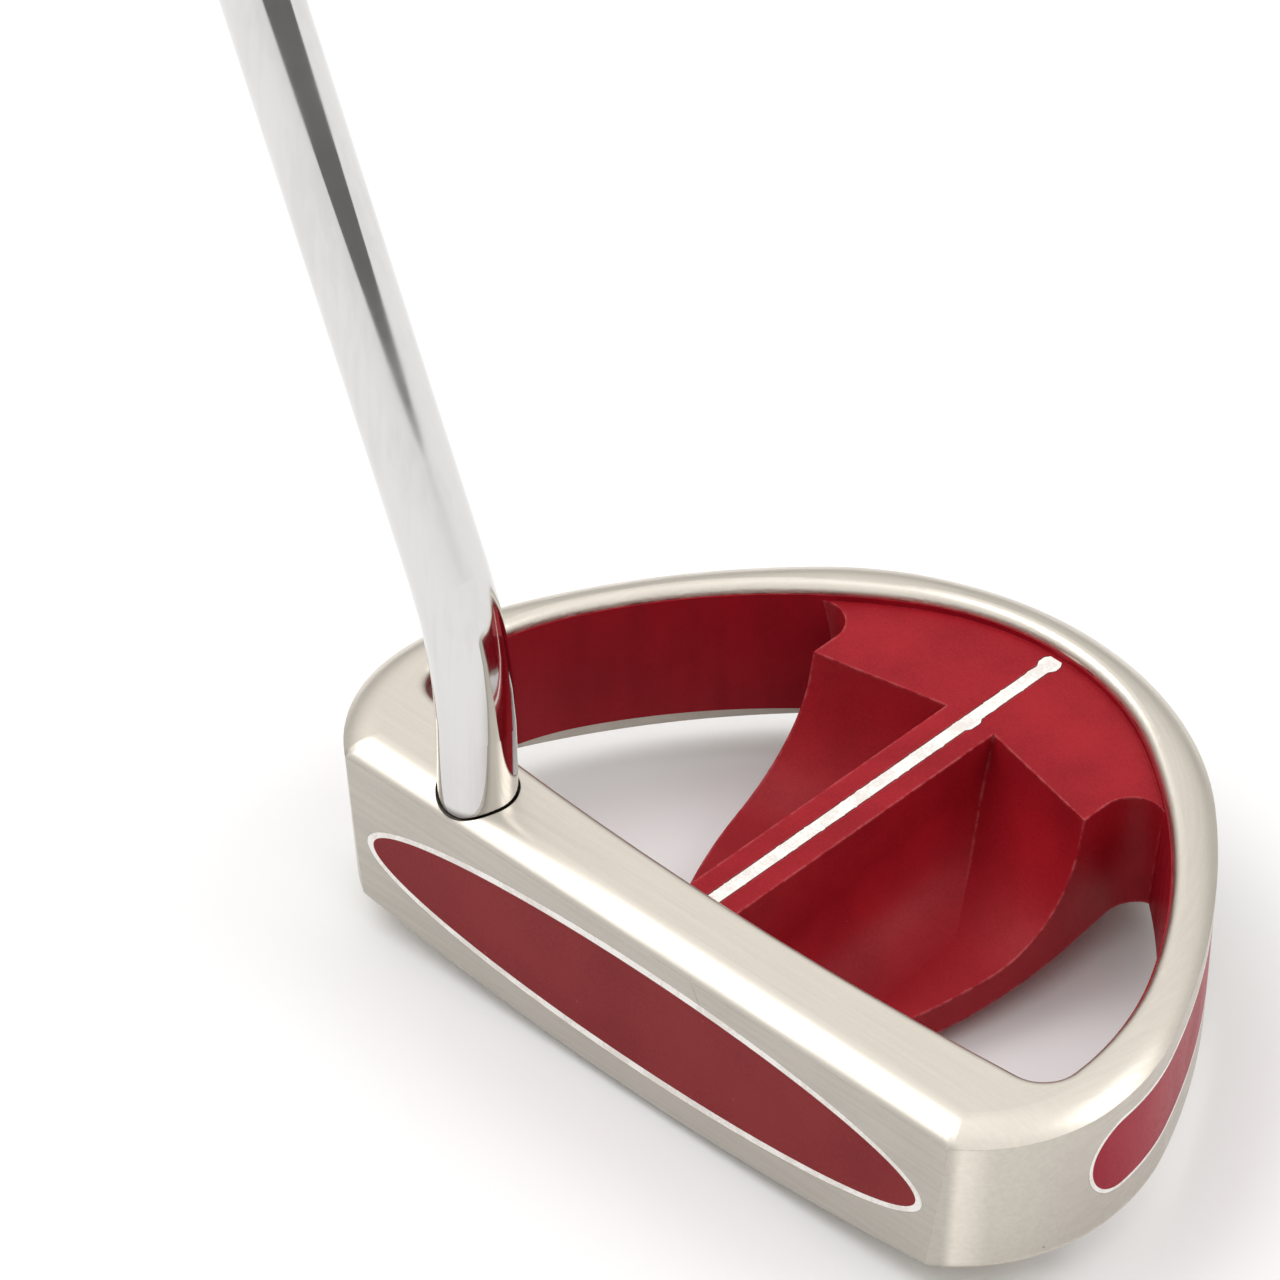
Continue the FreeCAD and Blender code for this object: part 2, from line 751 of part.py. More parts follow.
def makeEnamel():
    """The coat on the ring's inner wall, on both sides of the centre body."""
    coat = cut("Coat", window, windowInner)
    shadow = corePlan("CoreShadow", "0", "Dim.deckTop")
    for node, low in (("toe", "0"), ("heel", "-Dim.headHalfWidth")):
        name = node.title()
        limit = box(
            name + "CoatLimit", (low, "Dim.widest", "0"),
            ("Dim.headHalfWidth", "Dim.headDepth - Dim.widest", "Dim.enamelTop"),
        )
        trimmed = common(name + "CoatTrimmed", coat, limit, soleBall)
        clear = cut(name + "CoatClear", trimmed, relief)
        keep(node + "_wall_enamel", cut(name + "WallEnamel", clear, shadow))


# ---------------------------------------------------------------- face and side inlays

def makeFace():
    keep("face_insert", oval("FaceInsert", "0", "0", "Dim.insertThickness"))
    keep("insert_border", cut(
        "InsertBorder",
        oval("BorderPlate", "Dim.borderWidth", "0", "Dim.insertThickness"),
        oval("BorderHole", "0", "1", "Dim.insertThickness + 1"),
    ))
    keep("insert_adhesive", cut(
        "InsertAdhesive",
        oval("GluePlate", "Dim.borderWidth", "0", pocketDepth),
        oval("GlueFront", "Dim.borderWidth + 1", "1", "Dim.insertThickness"),
    ))


def makeInlays():
    for node, toe in (("toe", True), ("heel", False)):
        name = node.title()
        field = stadium(name + "Field", "0")
        keep(node + "_inlay", common(
            name + "Inlay", field, skin(name + "Skin"), side(name + "Side", toe)
        ))
        wide = stadium(name + "Rim", "Dim.inlayBorder")
        band = cut(name + "RimRing", wide, stadium(name + "RimHole", "0"))
        keep(node + "_inlay_border", common(
            name + "RimBand", band, skin(name + "RimSkin"), side(name + "RimSide", toe)
        ))


def makeScrews():
    drives = []
    for place_, (x, y, seat) in screwPlaces.items():
        drive = add("Part::Prism", place_ + "Drive", Polygon=6, Height="Dim.screwHeadDepth")
        drive.setExpression("Circumradius", "Dim.screwDrive")
        drives.append(place(drive, x, y, seat + " - Dim.screwHeadDepth / 3"))
    keep("core_screws", cut("CoreScrews", screwSet("Screws", "0"), fuse("Drives", *drives)))


# ---------------------------------------------------------------- shaft

def alongShaft(made, distance):
    """Stands a piece on the shaft's upper axis, at a distance from the bend."""
    rise = "(%s)" % distance
    lean = "sin(Dim.lieFromUpright * 1deg)"
    made.setExpression(
        "Placement",
        "placement(vector("
        "Dim.shaftX + %s * %s * cos(Dim.leanHeading * 1deg);"
        "Dim.shaftDepth - Dim.faceSetback + %s * %s * sin(Dim.leanHeading * 1deg);"
        "Dim.bendHeight + %s * cos(Dim.lieFromUpright * 1deg));"
        "rotation(Dim.leanHeading; Dim.lieFromUpright; 0))" % (rise, lean, rise, lean, rise),
    )
    return made


def bentBar(name, radius, bottom, top):
    """A round bar that rises from bottom, bends once and runs on for top past the bend. It is
    made in the shaft's own frame."""
    bend = "(Dim.lieFromUpright * 1deg)"
    reach = "(Dim.bendRadius * tan(%s / 2))" % bend
    straight = "(Dim.bendHeight - (%s))" % bottom
    lower = add(
        "Part::Cylinder", name + "Lower", Radius=radius, Height="%s - %s" % (straight, reach)
    )
    place(
        lower, "%s * sin(%s)" % (straight, bend), "0",
        "-%s * cos(%s)" % (straight, bend), pitch="-Dim.lieFromUpright",
    )
    turn = add(
        "Part::Torus", name + "Bend", Radius1="Dim.bendRadius", Radius2=radius,
        Angle3="Dim.lieFromUpright",
    )
    place(turn, "Dim.bendRadius", "0", reach, roll="-90", yaw="180", pitch="0")
    upper = add("Part::Cylinder", name + "Upper", Radius=radius, Height="%s - %s" % (top, reach))
    place(upper, z=reach)
    return lower, turn, upper


def stages(name, thinner):
    """The stepped upper tube: each stage is a little wider than the one below."""
    made = []
    for step in range(stepCount):
        last = step == stepCount - 1
        low = "Dim.stepStart + %d * Dim.stepPitch" % step
        height = "Dim.shaftLength - (%s)" % low if last else "Dim.stepPitch"
        radius = "Dim.shaftRadius + %d * Dim.stepRise - %s" % (step + 1, thinner)
        made.append(cylinder("%sStage%d" % (name, step), radius, height, "0", "0", low))
    return made


def makeShaft():
    outer = fuse(
        "TubeOuter",
        *bentBar("Tube", "Dim.shaftRadius", "Dim.shaftSeat", "Dim.stepStart"),
        *stages("Tube", "0"),
    )
    inner = fuse(
        "TubeInner",
        *bentBar("TubeBore", "Dim.shaftRadius - Dim.shaftWall", "Dim.shaftSeat", "Dim.stepStart"),
        *stages("TubeBore", "Dim.shaftWall"),
    )
    keep("shaft_tube", alongShaft(cut("ShaftTube", outer, inner), "0"), moved=False)
    foot = ("Dim.shaftX", "Dim.shaftDepth", "Dim.postFoot")
    seat = ("Dim.shaftX", "Dim.shaftDepth", "Dim.shaftSeat")
    post = fuse(
        "ShaftPost",
        cylinder("PostFoot", "Dim.postFootRadius", "Dim.shaftSeat - Dim.postFoot", *foot),
        cylinder("PostStem", "Dim.postRadius", "Dim.postTop - Dim.shaftSeat", *seat),
    )
    keep("shaft_post", post)
    depth = "%s + Dim.glueRise - Dim.shaftSeat" % crownEdgeText
    ring = cylinder("GlueRing", "Dim.shaftRadius + Dim.shaftGlue", depth, *seat)
    hole = cylinder("GlueHole", "Dim.shaftRadius", "Dim.crownHeight", *seat)
    keep("shaft_epoxy", cut("ShaftEpoxy", ring, hole))


# ---------------------------------------------------------------- grip

buttRadius = "(Dim.shaftRadius + %d * Dim.stepRise)" % stepCount
gripStart = "(Dim.shaftLength - Dim.gripLength)"


def gripSection(name, half, height):
    """A round section with a flat front, one of the loft's three."""
    sketch = doc.addObject("Sketcher::SketchObject", name)
    flat = sizes["gripFlat"] * sizes[half]
    edge = math.acos(sizes["gripFlat"])
    middle = -math.pi / 2
    circle = Part.Circle(Vector(0, 0, 0), Vector(0, 0, 1), sizes[half])
    sketch.addGeometry(Part.ArcOfCircle(circle, middle + edge, middle - edge + 2 * math.pi), False)
    right = Vector(sizes[half] * math.sin(edge), -flat, 0)
    sketch.addGeometry(Part.LineSegment(Vector(-right.x, right.y, 0), right), False)
    sketch.addConstraint(Sketcher.Constraint("Coincident", 0, 2, 1, 1))
    sketch.addConstraint(Sketcher.Constraint("Coincident", 1, 2, 0, 1))
    sketch.addConstraint(Sketcher.Constraint("Coincident", 0, 3, -1, 1))
    sketch.addConstraint(Sketcher.Constraint("Horizontal", 1))
    index = sketch.addConstraint(Sketcher.Constraint("Radius", 0, sizes[half]))
    sketch.setExpression("Constraints[%d]" % index, "Dim.%s" % half)
    index = sketch.addConstraint(Sketcher.Constraint("DistanceY", -1, 1, 1, 1, -flat))
    sketch.setExpression("Constraints[%d]" % index, "-Dim.gripFlat * Dim.%s" % half)
    return place(sketch, z=height, yaw="-Dim.leanHeading + 180")


def makeGrip():
    tapeRadius = "%s + Dim.gripTapeThickness" % buttRadius
    tape = cut(
        "GripTape",
        cylinder("TapeOuter", tapeRadius, "Dim.gripLength", "0", "0", gripStart),
        cylinder("TapeInner", buttRadius, "Dim.gripLength", "0", "0", gripStart),
    )
    keep("grip_tape", alongShaft(tape, "0"), moved=False)
    body = doc.addObject("Part::Loft", "GripBody")
    body.Sections = [
        gripSection("GripTip", "gripTipHalf", gripStart),
        gripSection("GripButt", "gripButtHalf", "Dim.shaftLength"),
    ]
    body.Solid = True
    body.Ruled = True
    bore = cylinder("GripBore", tapeRadius, "Dim.gripLength", "0", "0", gripStart)
    keep("grip_sleeve", alongShaft(cut("GripSleeve", body, bore), "0"), moved=False)
    disc = doc.addObject("Part::Extrusion", "CapDisc")
    disc.Base = gripSection("CapOutline", "gripButtHalf", "Dim.shaftLength")
    disc.DirMode = "Normal"
    disc.Solid = True
    disc.setExpression("LengthFwd", "Dim.gripCapThickness")
    vent = cylinder("Vent", "Dim.ventRadius", "Dim.gripCapThickness", "0", "0", "Dim.shaftLength")
    keep("grip_end_cap", alongShaft(cut("GripEndCap", disc, vent), "0"), moved=False)


# ---------------------------------------------------------------- build, check and write

def checkDocument():
    doc.recompute()
    for made in doc.Objects:
        if "Invalid" in made.State or "Error" in made.State:
            raise RuntimeError("%s is %s" % (made.Name, made.State))
    for node, made in nodes.items():
        shape = made.Shape
        if shape.isNull() or not shape.isValid() or not shape.Solids:
            raise RuntimeError("%s has no valid solid" % node)
        print("%-18s solids %d  volume %9.1f" % (node, len(shape.Solids), shape.Volume))


makeFrame()
makeCore()
makeSightLine()
makeEnamel()
makeFace()
makeInlays()
makeScrews()
makeShaft()
makeGrip()
checkDocument()
for node, made in nodes.items():
    made.Shape.exportStep("parts/%s.step" % node)
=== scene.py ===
import json
import math

import bmesh
import bpy
from mathutils import Matrix, Vector


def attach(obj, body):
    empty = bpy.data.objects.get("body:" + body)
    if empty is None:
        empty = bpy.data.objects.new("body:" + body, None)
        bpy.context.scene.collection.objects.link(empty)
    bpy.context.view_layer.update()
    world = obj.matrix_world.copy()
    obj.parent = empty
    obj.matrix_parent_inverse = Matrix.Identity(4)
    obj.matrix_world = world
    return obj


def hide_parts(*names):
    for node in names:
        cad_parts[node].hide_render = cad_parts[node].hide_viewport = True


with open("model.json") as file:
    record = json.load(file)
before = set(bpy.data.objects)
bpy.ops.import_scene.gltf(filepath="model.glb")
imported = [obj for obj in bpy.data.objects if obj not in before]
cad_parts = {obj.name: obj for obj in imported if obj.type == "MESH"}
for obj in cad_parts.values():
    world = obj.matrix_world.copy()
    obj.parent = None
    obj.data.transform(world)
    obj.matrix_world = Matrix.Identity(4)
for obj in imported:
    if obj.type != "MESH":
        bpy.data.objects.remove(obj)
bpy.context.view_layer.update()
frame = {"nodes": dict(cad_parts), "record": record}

mm = 0.001
record = frame["record"]
mounts = {row["name"]: row for row in record["mounts"]}
print("frame loaded")


def addNode(tree, kind, **settings):
    made = tree.nodes.new(kind)
    for key, value in settings.items():
        setattr(made, key, value)
    return made


def feed(tree, socket, value):
    if isinstance(value, bpy.types.NodeSocket):
        tree.links.new(value, socket)
    elif value is not None:
        socket.default_value = value


def calc(tree, operation, *values):
    made = addNode(tree, "ShaderNodeMath", operation=operation)
    for socket, value in zip(made.inputs, values):
        feed(tree, socket, value)
    return made.outputs[0]


def times(tree, first, second):
    return calc(tree, "MULTIPLY", first, second)


def plus(tree, first, second):
    return calc(tree, "ADD", first, second)


def weigh(tree, first, second, share):
    # share of the first, and the rest from the second
    return plus(tree, times(tree, first, share), times(tree, second, 1 - share))


def span(tree, value, low, high, toLow=0.0, toHigh=1.0):
    # smooth step from low to high
    made = addNode(tree, "ShaderNodeMapRange", interpolation_type="SMOOTHSTEP")
    names = ("Value", "From Min", "From Max", "To Min", "To Max")
    for name, amount in zip(names, (value, low, high, toLow, toHigh)):
        feed(tree, made.inputs[name], amount)
    return made.outputs[0]


def blendColor(tree, mask, first, second, mode="MIX"):
    made = addNode(tree, "ShaderNodeMix", data_type="RGBA", blend_type=mode)
    feed(tree, made.inputs["Factor"], mask)
    feed(tree, made.inputs["A"], first)
    feed(tree, made.inputs["B"], second)
    return made.outputs["Result"]


def stretch(tree, vector, scale, turn=(0, 0, 0), move=(0, 0, 0)):
    made = addNode(tree, "ShaderNodeMapping")
    feed(tree, made.inputs["Vector"], vector)
    made.inputs["Scale"].default_value = scale
    made.inputs["Rotation"].default_value = [math.radians(angle) for angle in turn]
    made.inputs["Location"].default_value = move
    return made.outputs[0]


def noise(tree, vector, scale, detail=3.0, rough=0.5):
    made = addNode(tree, "ShaderNodeTexNoise")
    feed(tree, made.inputs["Vector"], vector)
    feed(tree, made.inputs["Scale"], scale)
    made.inputs["Detail"].default_value = detail
    made.inputs["Roughness"].default_value = rough
    return made.outputs["Fac"]


def group(name, inputs, outputs):
    # every effect takes a vector first, and the rest are numbers
    tree = bpy.data.node_groups.new(name, "ShaderNodeTree")
    tree.interface.new_socket("Vector", in_out="INPUT", socket_type="NodeSocketVector")
    for label in inputs:
        tree.interface.new_socket(label, in_out="INPUT", socket_type="NodeSocketFloat")
    for label in outputs:
        tree.interface.new_socket(label, in_out="OUTPUT", socket_type="NodeSocketFloat")
    return tree, addNode(tree, "NodeGroupInput").outputs, addNode(tree, "NodeGroupOutput").inputs


def useGroup(tree, effect, **values):
    made = addNode(tree, "ShaderNodeGroup", node_tree=effect)
    for key, value in values.items():
        feed(tree, made.inputs[key], value)
    return made.outputs


def makeEdgeMask():
    # 1 on sharp edges, broken up by noise
    tree, given, result = group("edgeMask", ("Reach", "Ragged"), ("Mask",))
    rounded = addNode(tree, "ShaderNodeBevel", samples=6)
    feed(tree, rounded.inputs["Radius"], given["Reach"])
    true = addNode(tree, "ShaderNodeNewGeometry").outputs["Normal"]
    dot = addNode(tree, "ShaderNodeVectorMath", operation="DOT_PRODUCT")
    feed(tree, dot.inputs[0], rounded.outputs[0])
    feed(tree, dot.inputs[1], true)
    turned = span(tree, dot.outputs["Value"], 0.995, 0.86)
    broken = span(tree, noise(tree, given["Vector"], 700, 4, 0.65), 0.62, 0.36)
    feed(tree, result["Mask"], times(tree, turned, calc(tree, "POWER", broken, given["Ragged"])))
    return tree


def makeSpecks():
    # small separate dots
    tree, given, result = group("specks", ("Scale", "Size", "Share"), ("Mask",))
    cells = addNode(tree, "ShaderNodeTexVoronoi")
    feed(tree, cells.inputs["Vector"], given["Vector"])
    feed(tree, cells.inputs["Scale"], given["Scale"])
    dot = calc(tree, "LESS_THAN", cells.outputs["Distance"], given["Size"])
    pick = addNode(tree, "ShaderNodeSeparateColor")
    feed(tree, pick.inputs[0], cells.outputs["Color"])
    chosen = calc(tree, "LESS_THAN", pick.outputs[0], given["Share"])
    feed(tree, result["Mask"], times(tree, dot, chosen))
    return tree


def makeScratch():
    # one fine curved line in the X and Z of its vector, from 0 to 1 along Z
    tree, given, result = group("scratch", ("Width", "Bow"), ("Mask",))
    part = addNode(tree, "ShaderNodeSeparateXYZ")
    feed(tree, part.inputs[0], given["Vector"])
    along = part.outputs["Z"]
    arch = times(tree, along, calc(tree, "SUBTRACT", 1.0, along))
    curve = times(tree, arch, given["Bow"])
    off = calc(tree, "ABSOLUTE", calc(tree, "SUBTRACT", part.outputs["X"], curve))
    line = calc(tree, "LESS_THAN", off, given["Width"])
    ends = times(tree, span(tree, along, 0.0, 0.2), span(tree, along, 1.0, 0.7))
    feed(tree, result["Mask"], times(tree, line, ends))
    return tree


def makeGrain():
    # tone and height of an even fine finish
    tree, given, result = group("grain", ("Coarse", "Fine"), ("Tone", "Height"))
    clouds = noise(tree, given["Vector"], given["Coarse"], 4)
    dust = noise(tree, given["Vector"], given["Fine"], 2)
    feed(tree, result["Tone"], weigh(tree, clouds, dust, 0.6))
    feed(tree, result["Height"], dust)
    return tree


edgeMask = makeEdgeMask()
specks = makeSpecks()
scratch = makeScratch()
grain = makeGrain()
print("shared effects made")


def newMaterial(name, metal, coat=0.0, specular=0.5):
    made = bpy.data.materials.new(name)
    made.use_nodes = True
    tree = made.node_tree
    shader = tree.nodes["Principled BSDF"]
    shader.inputs["Metallic"].default_value = metal
    shader.inputs["Coat Weight"].default_value = coat
    shader.inputs["Coat Roughness"].default_value = 0.12
    shader.inputs["Specular IOR Level"].default_value = specular
    place = addNode(tree, "ShaderNodeTexCoord").outputs["Object"]
    return made, tree, shader.inputs, place


def bump(tree, height, strength, depth):
    made = addNode(tree, "ShaderNodeBump")
    made.inputs["Strength"].default_value = strength
    made.inputs["Distance"].default_value = depth
    feed(tree, made.inputs["Height"], height)
    return made.outputs[0]


def axes(tree, place):
    part = addNode(tree, "ShaderNodeSeparateXYZ")
    feed(tree, part.inputs[0], place)
    return part.outputs


def band(tree, value, low, high, soft):
    # 1 between low and high
    rise = span(tree, value, low - soft, low + soft)
    return times(tree, rise, span(tree, value, high + soft, high - soft))


nickel = {
    "light": (0.80, 0.745, 0.655, 1), "dark": (0.715, 0.665, 0.585, 1), "mark": (0.20, 0.16, 0.12, 1),
    # the face tone multiplies painted shade into the face and the upright sides
    "paintedShadeTone": (0.66, 0.665, 0.68, 1), "rough": (0.30, 0.40),
    "strokes": (60, 1500, 1500), "ringTurn": 0.05, "ringCentre": 8 * mm,
    "ringStart": (-13 * mm, -6 * mm), "sideStart": (-21 * mm, -18 * mm),
    "faceStart": (-20.9 * mm, -21.9 * mm), "faceTop": (24.6 * mm, 24.2 * mm),
    "paintLine": (24.0 * mm, 24.35 * mm), "paintWander": 0.7 * mm,
}


def makeNickel(look):
    made, tree, shader, place = newMaterial("satinNickel", 1.0)
    y, z = axes(tree, place)[1:]
    # the finishing marks run along the bar and round the ring
    middle = stretch(tree, place, (1, 1, 1), move=(0, -look["ringCentre"], 0))
    mx, my = axes(tree, middle)[:2]
    angle = calc(tree, "ARCTAN2", mx, my)
    radius = calc(tree, "SQRT", plus(tree, times(tree, mx, mx), times(tree, my, my)))
    ring = addNode(tree, "ShaderNodeCombineXYZ")
    for socket, value in zip(ring.inputs, (times(tree, angle, look["ringTurn"]), radius, z)):
        feed(tree, socket, value)
    barMarks = noise(tree, stretch(tree, place, look["strokes"]), 1.0, 4, 0.6)
    ringMarks = noise(tree, stretch(tree, ring.outputs[0], look["strokes"]), 1.0, 4, 0.6)
    onRing = span(tree, y, *look["ringStart"])
    onBar = calc(tree, "SUBTRACT", 1.0, onRing)
    marks = plus(tree, times(tree, barMarks, onBar), times(tree, ringMarks, onRing))
    tone = useGroup(tree, grain, Vector=place, Coarse=75.0, Fine=2600.0)["Tone"]
    shade = weigh(tree, marks, tone, 0.55)
    color = blendColor(tree, span(tree, shade, 0.30, 0.70), look["dark"], look["light"])
    # painted shade: the face's colour is multiplied darker than the crown
    faceShade = times(tree, span(tree, y, *look["faceStart"]), span(tree, z, *look["faceTop"]))
    color = blendColor(tree, faceShade, color, look["paintedShadeTone"], "MULTIPLY")
    # painted shade: upright walls behind the face are multiplied darker as well
    normal = addNode(tree, "ShaderNodeNewGeometry").outputs["Normal"]
    upright = span(tree, calc(tree, "ABSOLUTE", axes(tree, normal)["Z"]), 0.35, 0.12)
    sideShade = times(tree, upright, span(tree, y, *look["sideStart"]))
    color = blendColor(tree, times(tree, sideShade, 0.7), color, look["paintedShadeTone"], "MULTIPLY")
    # a dark uneven line where the wall's paint stops
    inward = addNode(tree, "ShaderNodeVectorMath", operation="DOT_PRODUCT")
    feed(tree, inward.inputs[0], normal)
    feed(tree, inward.inputs[1], middle)
    inner = times(tree, calc(tree, "LESS_THAN", inward.outputs["Value"], -2 * mm), onRing)
    wander = times(tree, calc(tree, "SUBTRACT", noise(tree, place, 420, 3), 0.5), look["paintWander"])
    line = band(tree, plus(tree, z, wander), *look["paintLine"], 0.08 * mm)
    color = blendColor(tree, times(tree, times(tree, line, inner), 0.85), color, look["mark"])
    edges = useGroup(tree, edgeMask, Vector=place, Reach=0.35 * mm, Ragged=0.6)["Mask"]
    color = blendColor(tree, times(tree, edges, 0.42), color, look["mark"])
    pits = useGroup(tree, specks, Vector=place, Scale=260.0, Size=0.045, Share=0.12)["Mask"]
    local = stretch(tree, place, (1 / 0.01, 1, 1 / 0.012), turn=(0, 24, 0), move=(-1.5, 0, -0.6))
    nicks = useGroup(tree, scratch, Vector=local, Width=0.006, Bow=0.3)["Mask"]
    color = blendColor(tree, times(tree, calc(tree, "MAXIMUM", pits, nicks), 0.55), color, look["mark"])
    feed(tree, shader["Base Color"], color)
    feed(tree, shader["Roughness"], span(tree, shade, 0.62, 0.36, *look["rough"]))
    height = calc(tree, "SUBTRACT", marks, times(tree, pits, 0.8))
    feed(tree, shader["Normal"], bump(tree, height, 0.12, 0.05 * mm))
    return made


lacquer = {
    "deep": (0.255, 0.004, 0.010, 1), "bright": (0.37, 0.010, 0.018, 1), "paler": (0.56, 0.13, 0.14, 1),
    "white": (0.92, 0.89, 0.84, 1), "outline": (0.07, 0.015, 0.012, 1),
    "deckTop": 23.6 * mm, "shadeFrom": (21 * mm, 4 * mm),
    "lineHalf": 0.85 * mm, "lineEnd": 47.1 * mm, "lineWander": 0.10 * mm, "outlineWidth": 0.16 * mm,
    "stepPlace": (31.4 * mm, 33.6 * mm), "stepWidth": 0.4 * mm,
    "blobStart": 45.6 * mm, "blobWidth": 0.45 * mm,
}


def makeLacquer(look):
    made, tree, shader, place = newMaterial("redLacquer", 0.0, specular=0.16)
    x, y, z = axes(tree, place)
    fine = useGroup(tree, grain, Vector=place, Coarse=110.0, Fine=3400.0)
    color = blendColor(tree, span(tree, fine["Tone"], 0.28, 0.72), look["deep"], look["bright"])
    low = span(tree, z, *look["shadeFrom"], 0.0, 0.28)
    color = blendColor(tree, low, color, look["deep"])
    # paler red along the edges: painted highlight on the rounded edges, as well as wear; the paler specks below
    # are chips
    paleEdge = useGroup(tree, edgeMask, Vector=place, Reach=0.7 * mm, Ragged=0.8)["Mask"]
    color = blendColor(tree, times(tree, paleEdge, 0.55), color, look["paler"])
    onTop = span(tree, z, look["deckTop"] - 0.25 * mm, look["deckTop"] - 0.05 * mm)
    # the white fill has spread a little past its groove, more at one place and at the far end
    away = calc(tree, "ABSOLUTE", x)
    wander = times(tree, span(tree, noise(tree, place, 900, 3, 0.6), 0.5, 0.72), look["lineWander"])
    oneSide = times(tree, calc(tree, "GREATER_THAN", x, 0.0), look["stepWidth"])
    step = times(tree, band(tree, y, *look["stepPlace"], 0.4 * mm), oneSide)
    atEnd = band(tree, y, look["blobStart"], look["lineEnd"] + 0.2 * mm, 0.5 * mm)
    blob = times(tree, atEnd, look["blobWidth"])
    edge = plus(tree, plus(tree, look["lineHalf"], wander), plus(tree, step, blob))
    inLine = times(tree, calc(tree, "LESS_THAN", y, look["lineEnd"] + 0.5 * mm), onTop)
    spread = times(tree, calc(tree, "LESS_THAN", away, edge), inLine)
    outer = plus(tree, edge, look["outlineWidth"])
    rim = times(tree, calc(tree, "LESS_THAN", away, outer), inLine)
    color = blendColor(tree, times(tree, rim, 0.75), color, look["outline"])
    color = blendColor(tree, spread, color, look["white"])
    dots = useGroup(tree, specks, Vector=place, Scale=420.0, Size=0.05, Share=0.05)["Mask"]
    color = blendColor(tree, times(tree, dots, 0.6), color, look["paler"])
    feed(tree, shader["Base Color"], color)
    feed(tree, shader["Roughness"], span(tree, fine["Tone"], 0.3, 0.7, 0.52, 0.38))
    feed(tree, shader["Normal"], bump(tree, fine["Height"], 0.22, 0.05 * mm))
    return made


enamel = {"deep": (0.25, 0.003, 0.010, 1), "bright": (0.32, 0.006, 0.015, 1), "rough": (0.5, 0.36)}


def makeEnamelLook(look):
    made, tree, shader, place = newMaterial("wallEnamel", 0.0, specular=0.18)
    fine = useGroup(tree, grain, Vector=place, Coarse=90.0, Fine=2400.0)
    runs = noise(tree, stretch(tree, place, (260, 260, 30)), 1.0, 3)
    tone = weigh(tree, fine["Tone"], runs, 0.6)
    color = blendColor(tree, span(tree, tone, 0.38, 0.62), look["deep"], look["bright"])
    feed(tree, shader["Base Color"], color)
    feed(tree, shader["Roughness"], span(tree, runs, 0.3, 0.7, *look["rough"]))
    feed(tree, shader["Normal"], bump(tree, fine["Height"], 0.2, 0.05 * mm))
    return made


insert = {
    "deep": (0.195, 0.009, 0.012, 1), "bright": (0.235, 0.014, 0.017, 1),
    "nick": (0.46, 0.13, 0.12, 1), "rough": (0.46, 0.34),
}


def makeInsertLook(look):
    made, tree, shader, place = newMaterial("faceInsert", 0.0, specular=0.14)
    fine = useGroup(tree, grain, Vector=place, Coarse=60.0, Fine=4200.0)
    color = blendColor(tree, span(tree, fine["Tone"], 0.36, 0.64), look["deep"], look["bright"])
    # one faint slanted scratch on the toe half
    local = stretch(tree, place, (1 / 0.009, 1, 1 / 0.009), turn=(0, -16, 0), move=(-1.72, 0, -0.32))
    nick = useGroup(tree, scratch, Vector=local, Width=0.012, Bow=-0.35)["Mask"]
    dots = useGroup(tree, specks, Vector=place, Scale=600.0, Size=0.09, Share=0.06)["Mask"]
    marks = calc(tree, "MAXIMUM", nick, times(tree, dots, 0.5))
    color = blendColor(tree, times(tree, marks, 0.6), color, look["nick"])
    feed(tree, shader["Base Color"], color)
    feed(tree, shader["Roughness"], span(tree, fine["Tone"], 0.3, 0.7, *look["rough"]))
    feed(tree, shader["Normal"], bump(tree, fine["Height"], 0.25, 0.04 * mm))
    return made


inlay = {"deep": (0.29, 0.002, 0.017, 1), "bright": (0.34, 0.004, 0.022, 1), "rough": (0.45, 0.34)}


def makeInlayLook(look):
    made, tree, shader, place = newMaterial("sideInlay", 0.0, coat=0.05, specular=0.16)
    fine = useGroup(tree, grain, Vector=place, Coarse=80.0, Fine=1600.0)
    color = blendColor(tree, span(tree, fine["Tone"], 0.36, 0.64), look["deep"], look["bright"])
    feed(tree, shader["Base Color"], color)
    feed(tree, shader["Roughness"], span(tree, fine["Tone"], 0.3, 0.7, *look["rough"]))
    feed(tree, shader["Normal"], bump(tree, fine["Height"], 0.12, 0.04 * mm))
    return made


fill = {
    "clean": (0.93, 0.90, 0.86, 1), "soiled": (0.80, 0.75, 0.70, 1),
    "dirt": (0.16, 0.08, 0.06, 1), "rough": (0.5, 0.34),
}


def makeFill(look):
    made, tree, shader, place = newMaterial("whiteFill", 0.0, specular=0.4)
    fine = useGroup(tree, grain, Vector=place, Coarse=300.0, Fine=2600.0)
    color = blendColor(tree, span(tree, fine["Tone"], 0.42, 0.56), look["soiled"], look["clean"])
    dots = useGroup(tree, specks, Vector=place, Scale=330.0, Size=0.09, Share=0.1)["Mask"]
    edges = useGroup(tree, edgeMask, Vector=place, Reach=0.12 * mm, Ragged=1.4)["Mask"]
    color = blendColor(tree, times(tree, calc(tree, "MAXIMUM", dots, edges), 0.25), color, look["dirt"])
    feed(tree, shader["Base Color"], color)
    feed(tree, shader["Roughness"], span(tree, fine["Tone"], 0.3, 0.7, *look["rough"]))
    feed(tree, shader["Normal"], bump(tree, fine["Tone"], 0.4, 0.08 * mm))
    return made


tube = {
    # the dark colour paints shade at the foot of the shaft and also dirt specks
    "bright": (0.69, 0.68, 0.67, 1), "dull": (0.65, 0.64, 0.63, 1), "grimeAndShade": (0.10, 0.08, 0.07, 1),
    "rough": (0.04, 0.11), "jointShadeTop": (26.2 * mm, 25.0 * mm), "jointShadeWander": 0.6 * mm,
}


